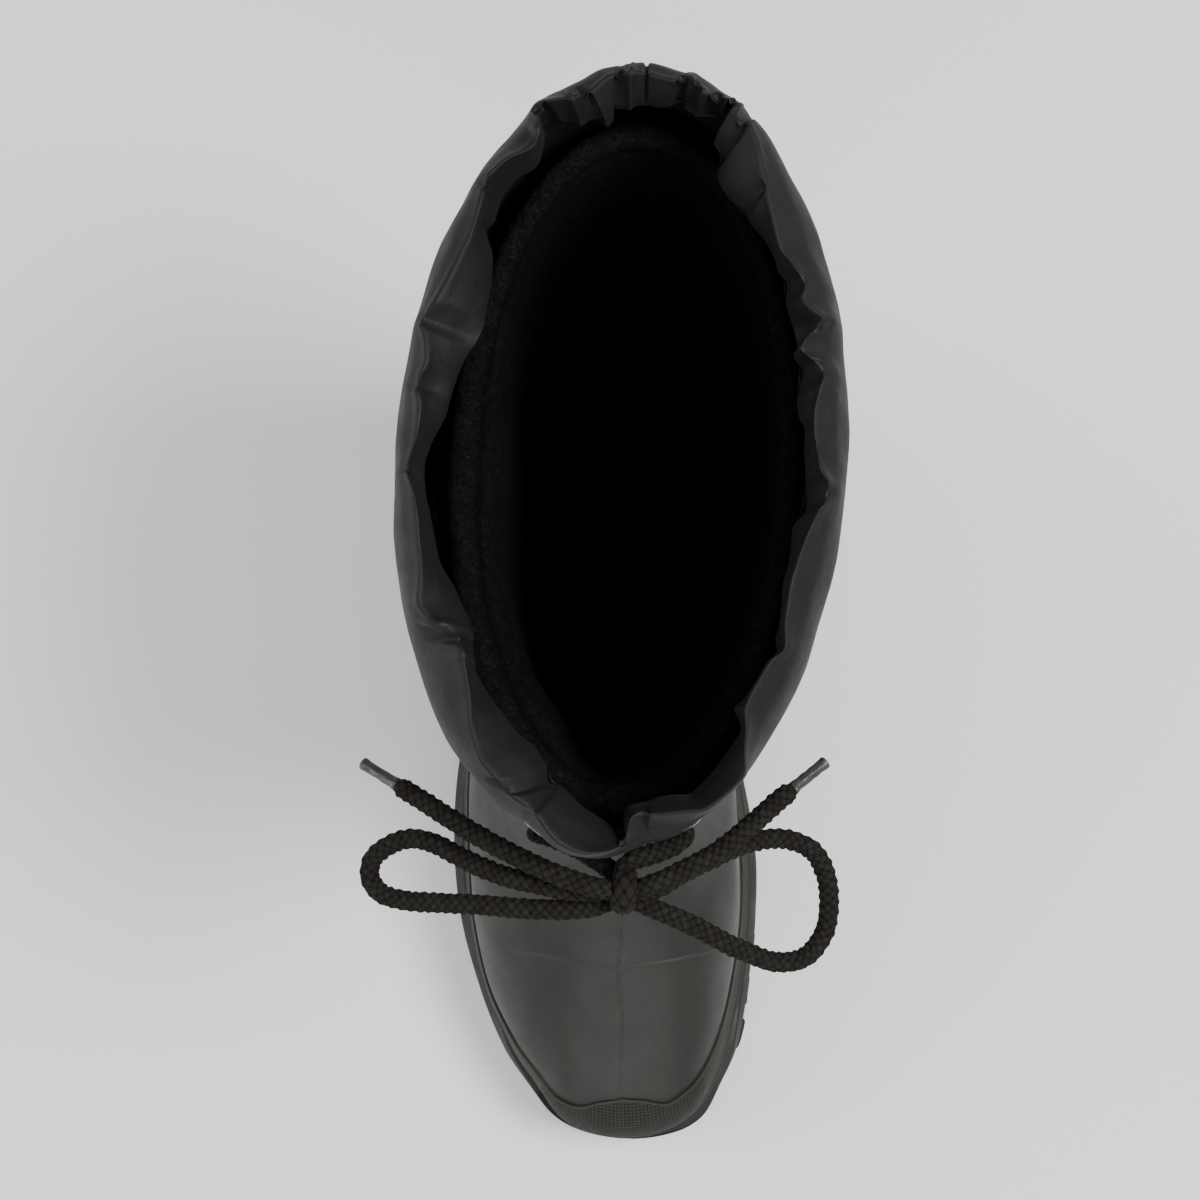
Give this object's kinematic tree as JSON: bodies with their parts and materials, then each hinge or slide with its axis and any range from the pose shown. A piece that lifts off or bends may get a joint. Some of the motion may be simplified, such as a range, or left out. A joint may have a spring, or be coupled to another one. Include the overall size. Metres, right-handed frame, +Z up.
{
  "type": "rain boot",
  "caption": "Lined rubber rain boot for a right foot, with a textured toe rand, a lugged sole and a nylon cuff gathered by a drawstring tied in a bow.",
  "frame": {"origin": "on the floor, under the middle of the sole's length and width", "axes": "+Z up, the toe points to -Y, the inner side of the foot to +X"},
  "size_m": [0.1237, 0.312, 0.335],
  "materials": {
    "boot_rubber": "matte moulded olive grey rubber with a fine pimpled toe rand",
    "sole_rubber": "matte dark grey tread rubber",
    "cuff_nylon": "black nylon with a fine rib weave and a soft sheen",
    "liner_felt": "thick black needle felt",
    "drawcord": "round braided charcoal cord",
    "eyelet_metal": "polished brass-coloured eyelet",
    "cord_tip": "smoky clear plastic tip"
  },
  "bodies": {
    "root": {"outsole": "sole_rubber", "boot_shell": "boot_rubber", "felt_liner": "liner_felt", "cuff": "cuff_nylon", "eyelet_medial": "eyelet_metal", "eyelet_lateral": "eyelet_metal", "bow_knot": "drawcord", "cord_lead_medial": "drawcord", "cord_lead_lateral": "drawcord", "bow_loop_medial": "drawcord", "bow_loop_lateral": "drawcord", "cord_end_medial": "drawcord", "cord_end_lateral": "drawcord", "aglet_medial": "cord_tip", "aglet_lateral": "cord_tip"}
  },
  "joints": []
}
